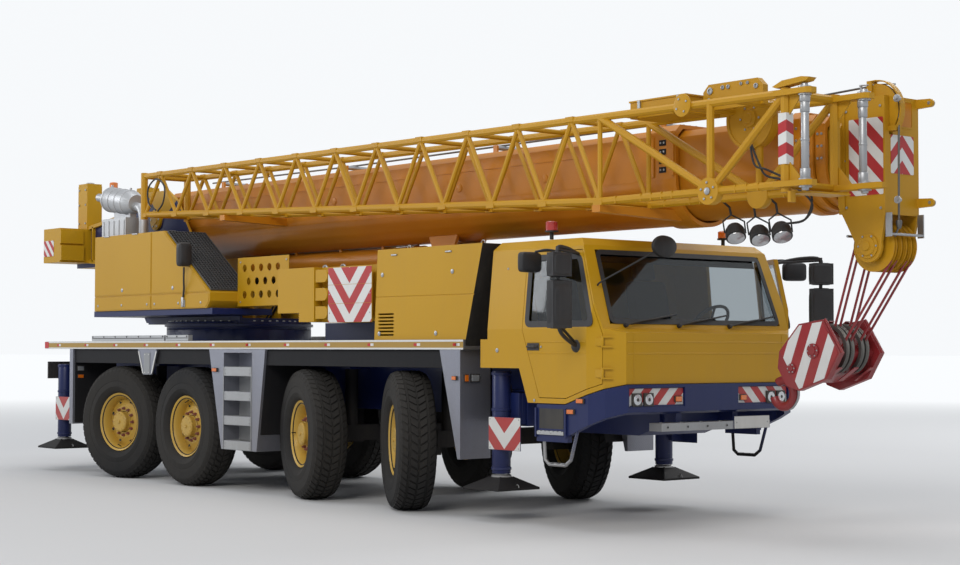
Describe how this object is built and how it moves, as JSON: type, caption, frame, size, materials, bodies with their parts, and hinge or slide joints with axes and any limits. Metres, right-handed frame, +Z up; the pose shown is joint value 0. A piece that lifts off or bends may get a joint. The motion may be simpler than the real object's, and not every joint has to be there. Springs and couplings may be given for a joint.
{
  "type": "mobile crane",
  "caption": "All-terrain telescopic crane parked with its boom down over the cab, a lattice jib along its side, outriggers drawn in and the hook block tied back.",
  "frame": {"origin": "on the ground, in the middle of the crane's length and width", "axes": "+X towards the cab and boom head, +Y to the crane's left, +Z up"},
  "size_m": [13.63, 3.4667, 3.76],
  "materials": {
    "yellow_paint": "gloss",
    "navy_paint": "satin",
    "guard_plastic": "matte",
    "deck_plate": "chequer plate",
    "skirt_plate": "chequer plate",
    "axle_paint": "matte",
    "tyre_rubber": "matte",
    "clear_glass": "clear",
    "seat_fabric": "woven",
    "ballast_paint": "painted",
    "rod_chrome": "polished",
    "hook_red": "gloss",
    "winch_steel": "oily"
  },
  "bodies": {
    "carrier": {"chassis_frame": "navy_paint", "deck": "deck_plate", "mudguards": "guard_plastic", "skirt_panels": "skirt_plate", "axle_beams": "axle_paint", "drive_train": "axle_paint", "engine_housing": "yellow_paint", "ballast_slabs": "ballast_paint", "cab_shell": "yellow_paint", "cab_glass": "clear_glass", "cab_interior": "seat_fabric", "bumper": "navy_paint"},
    "door_right": {"door_right": "yellow_paint", "door_glass_right": "clear_glass"},
    "door_left": {"door_left": "yellow_paint", "door_glass_left": "clear_glass"},
    "superstructure": {"turntable": "navy_paint", "winch": "winch_steel", "upper_engine_cover": "yellow_paint", "crane_cab": "yellow_paint", "crane_cab_glass": "clear_glass", "crane_cab_interior": "seat_fabric"},
    "crane_door": {"crane_door": "yellow_paint"},
    "boom": {"boom_base": "yellow_paint", "jib": "yellow_paint"},
    "tele_1": {"tele_1": "yellow_paint"},
    "tele_2": {"tele_2": "yellow_paint"},
    "tele_3": {"tele_3": "yellow_paint"},
    "boom_head": {"boom_head": "yellow_paint", "hook_block": "hook_red"},
    "derrick_barrel": {"derrick_barrel": "yellow_paint"},
    "derrick_rod": {"derrick_rod": "rod_chrome"},
    "outrigger_beam_front_right": {"outrigger_beam_front_right": "navy_paint"},
    "outrigger_arm_front_right": {"outrigger_arm_front_right": "navy_paint"},
    "jack_front_right": {"jack_front_right": "navy_paint"},
    "outrigger_beam_front_left": {"outrigger_beam_front_left": "navy_paint"},
    "outrigger_arm_front_left": {"outrigger_arm_front_left": "navy_paint"},
    "jack_front_left": {"jack_front_left": "navy_paint"},
    "outrigger_beam_rear_right": {"outrigger_beam_rear_right": "navy_paint"},
    "outrigger_arm_rear_right": {"outrigger_arm_rear_right": "navy_paint"},
    "jack_rear_right": {"jack_rear_right": "navy_paint"},
    "outrigger_beam_rear_left": {"outrigger_beam_rear_left": "navy_paint"},
    "outrigger_arm_rear_left": {"outrigger_arm_rear_left": "navy_paint"},
    "jack_rear_left": {"jack_rear_left": "navy_paint"},
    "knuckle_1_right": {"knuckle_1_right": "axle_paint"},
    "wheel_1_right": {"wheel_1_right": "tyre_rubber"},
    "knuckle_1_left": {"knuckle_1_left": "axle_paint"},
    "wheel_1_left": {"wheel_1_left": "tyre_rubber"},
    "knuckle_2_right": {"knuckle_2_right": "axle_paint"},
    "wheel_2_right": {"wheel_2_right": "tyre_rubber"},
    "knuckle_2_left": {"knuckle_2_left": "axle_paint"},
    "wheel_2_left": {"wheel_2_left": "tyre_rubber"},
    "knuckle_3_right": {"knuckle_3_right": "axle_paint"},
    "wheel_3_right": {"wheel_3_right": "tyre_rubber"},
    "knuckle_3_left": {"knuckle_3_left": "axle_paint"},
    "wheel_3_left": {"wheel_3_left": "tyre_rubber"},
    "knuckle_4_right": {"knuckle_4_right": "axle_paint"},
    "wheel_4_right": {"wheel_4_right": "tyre_rubber"},
    "knuckle_4_left": {"knuckle_4_left": "axle_paint"},
    "wheel_4_left": {"wheel_4_left": "tyre_rubber"}
  },
  "joints": [
    {"name": "slew", "type": "hinge", "parent": "carrier", "child": "superstructure", "pos_m": [-3.405, 0, 1.8], "axis": [0, 0, 1], "continuous": true},
    {"name": "boom_raise", "type": "hinge", "parent": "superstructure", "child": "boom", "pos_m": [-4.58, 0, 3.2], "axis": [0, -1, 0], "range_deg": [0, 81]},
    {"name": "derrick_swing", "type": "hinge", "parent": "superstructure", "child": "derrick_barrel", "pos_m": [-2.9917, 0, 2.554], "axis": [0, -1, 0], "range_deg": [0, 90.99]},
    {"name": "derrick_slide", "type": "slide", "parent": "derrick_barrel", "child": "derrick_rod", "axis": [1, 0, 0], "range_m": [0, 2.0689]},
    {"name": "tele_1_slide", "type": "slide", "parent": "boom", "child": "tele_1", "axis": [1, 0, 0], "range_m": [0, 8.15]},
    {"name": "tele_2_slide", "type": "slide", "parent": "tele_1", "child": "tele_2", "axis": [1, 0, 0], "range_m": [0, 8.15]},
    {"name": "tele_3_slide", "type": "slide", "parent": "tele_2", "child": "tele_3", "axis": [1, 0, 0], "range_m": [0, 8.15]},
    {"name": "head_slide", "type": "slide", "parent": "tele_3", "child": "boom_head", "axis": [1, 0, 0], "range_m": [0, 8.15]},
    {"name": "door_right", "type": "hinge", "parent": "carrier", "child": "door_right", "pos_m": [4.326, -1.216, 1.79], "axis": [0, 0, 1], "range_deg": [0, 75]},
    {"name": "door_left", "type": "hinge", "parent": "carrier", "child": "door_left", "pos_m": [4.326, 1.216, 1.79], "axis": [0, 0, 1], "range_deg": [-42, 33]},
    {"name": "crane_door", "type": "slide", "parent": "superstructure", "child": "crane_door", "axis": [-1, 0, 0], "range_m": [0, 0.62]},
    {"name": "beam_front_right", "type": "slide", "parent": "carrier", "child": "outrigger_beam_front_right", "axis": [0, -1, 0], "range_m": [0, 1.02]},
    {"name": "arm_front_right", "type": "slide", "parent": "outrigger_beam_front_right", "child": "outrigger_arm_front_right", "axis": [0, -1, 0], "range_m": [0, 1.02]},
    {"name": "jack_front_right", "type": "slide", "parent": "outrigger_arm_front_right", "child": "jack_front_right", "axis": [0, 0, -1], "range_m": [0, 0.6]},
    {"name": "beam_front_left", "type": "slide", "parent": "carrier", "child": "outrigger_beam_front_left", "axis": [0, 1, 0], "range_m": [0, 1.02]},
    {"name": "arm_front_left", "type": "slide", "parent": "outrigger_beam_front_left", "child": "outrigger_arm_front_left", "axis": [0, 1, 0], "range_m": [0, 1.02]},
    {"name": "jack_front_left", "type": "slide", "parent": "outrigger_arm_front_left", "child": "jack_front_left", "axis": [0, 0, -1], "range_m": [0, 0.6]},
    {"name": "beam_rear_right", "type": "slide", "parent": "carrier", "child": "outrigger_beam_rear_right", "axis": [0, -1, 0], "range_m": [0, 1.02]},
    {"name": "arm_rear_right", "type": "slide", "parent": "outrigger_beam_rear_right", "child": "outrigger_arm_rear_right", "axis": [0, -1, 0], "range_m": [0, 1.02]},
    {"name": "jack_rear_right", "type": "slide", "parent": "outrigger_arm_rear_right", "child": "jack_rear_right", "axis": [0, 0, -1], "range_m": [0, 0.6]},
    {"name": "beam_rear_left", "type": "slide", "parent": "carrier", "child": "outrigger_beam_rear_left", "axis": [0, 1, 0], "range_m": [0, 1.02]},
    {"name": "arm_rear_left", "type": "slide", "parent": "outrigger_beam_rear_left", "child": "outrigger_arm_rear_left", "axis": [0, 1, 0], "range_m": [0, 1.02]},
    {"name": "jack_rear_left", "type": "slide", "parent": "outrigger_arm_rear_left", "child": "jack_rear_left", "axis": [0, 0, -1], "range_m": [0, 0.6]},
    {"name": "steer_1_right", "type": "hinge", "parent": "carrier", "child": "knuckle_1_right", "pos_m": [1.47, -0.975, 0.68], "axis": [0, 0, 1], "range_deg": [-10, 58]},
    {"name": "spin_1_right", "type": "hinge", "parent": "knuckle_1_right", "child": "wheel_1_right", "pos_m": [1.4172, -1.0743, 0.68], "axis": [0.4695, 0.8829, 0], "continuous": true},
    {"name": "steer_1_left", "type": "hinge", "parent": "carrier", "child": "knuckle_1_left", "pos_m": [1.47, 0.975, 0.68], "axis": [0, 0, 1], "range_deg": [-8.12, 46.86]},
    {"name": "spin_1_left", "type": "hinge", "parent": "knuckle_1_left", "child": "wheel_1_left", "pos_m": [1.5132, 1.0789, 0.68], "axis": [0.3843, 0.9232, 0], "continuous": true},
    {"name": "steer_2_right", "type": "hinge", "parent": "carrier", "child": "knuckle_2_right", "pos_m": [-0.18, -0.975, 0.68], "axis": [0, 0, 1], "range_deg": [-6.12, 35.26]},
    {"name": "spin_2_right", "type": "hinge", "parent": "knuckle_2_right", "child": "wheel_2_right", "pos_m": [-0.2129, -1.0826, 0.68], "axis": [0.2924, 0.9563, 0], "continuous": true},
    {"name": "steer_2_left", "type": "hinge", "parent": "carrier", "child": "knuckle_2_left", "pos_m": [-0.18, 0.975, 0.68], "axis": [0, 0, 1], "range_deg": [-5.16, 29.69]},
    {"name": "spin_2_left", "type": "hinge", "parent": "knuckle_2_left", "child": "wheel_2_left", "pos_m": [-0.1522, 1.084, 0.68], "axis": [0.247, 0.969, 0], "continuous": true},
    {"name": "steer_3_right", "type": "hinge", "parent": "carrier", "child": "knuckle_3_right", "pos_m": [-2.58, -0.975, 0.68], "axis": [0, 0, 1], "range_deg": [-20, 20]},
    {"name": "spin_3_right", "type": "hinge", "parent": "knuckle_3_right", "child": "wheel_3_right", "pos_m": [-2.58, -1.0875, 0.68], "axis": [0, 1, 0], "continuous": true},
    {"name": "steer_3_left", "type": "hinge", "parent": "carrier", "child": "knuckle_3_left", "pos_m": [-2.58, 0.975, 0.68], "axis": [0, 0, 1], "range_deg": [-20.05, 20.05]},
    {"name": "spin_3_left", "type": "hinge", "parent": "knuckle_3_left", "child": "wheel_3_left", "pos_m": [-2.58, 1.0875, 0.68], "axis": [0, 1, 0], "continuous": true},
    {"name": "steer_4_right", "type": "hinge", "parent": "carrier", "child": "knuckle_4_right", "pos_m": [-4.23, -0.975, 0.68], "axis": [0, 0, 1], "range_deg": [-36.7, 13.3]},
    {"name": "spin_4_right", "type": "hinge", "parent": "knuckle_4_right", "child": "wheel_4_right", "pos_m": [-4.2072, -1.0852, 0.68], "axis": [-0.2028, 0.9792, 0], "continuous": true},
    {"name": "steer_4_left", "type": "hinge", "parent": "carrier", "child": "knuckle_4_left", "pos_m": [-4.23, 0.975, 0.68], "axis": [0, 0, 1], "range_deg": [-28.9, 10.5]},
    {"name": "spin_4_left", "type": "hinge", "parent": "knuckle_4_left", "child": "wheel_4_left", "pos_m": [-4.248, 1.0861, 0.68], "axis": [-0.1599, 0.9871, 0], "continuous": true}
  ],
  "couplings": [
    {"joint": "derrick_swing", "follows": "boom_raise", "ratio": 1.1228},
    {"joint": "derrick_slide", "follows": "boom_raise", "m_per_rad": 1.4621},
    {"joint": "arm_front_right", "follows": "beam_front_right", "ratio": 1},
    {"joint": "arm_front_left", "follows": "beam_front_left", "ratio": 1},
    {"joint": "arm_rear_right", "follows": "beam_rear_right", "ratio": 1},
    {"joint": "arm_rear_left", "follows": "beam_rear_left", "ratio": 1},
    {"joint": "steer_1_left", "follows": "steer_1_right", "ratio": 0.807},
    {"joint": "steer_2_right", "follows": "steer_1_right", "ratio": 0.607},
    {"joint": "steer_2_left", "follows": "steer_1_right", "ratio": 0.511},
    {"joint": "steer_3_left", "follows": "steer_3_right", "ratio": 1},
    {"joint": "steer_4_left", "follows": "steer_4_right", "ratio": 0.786}
  ]
}
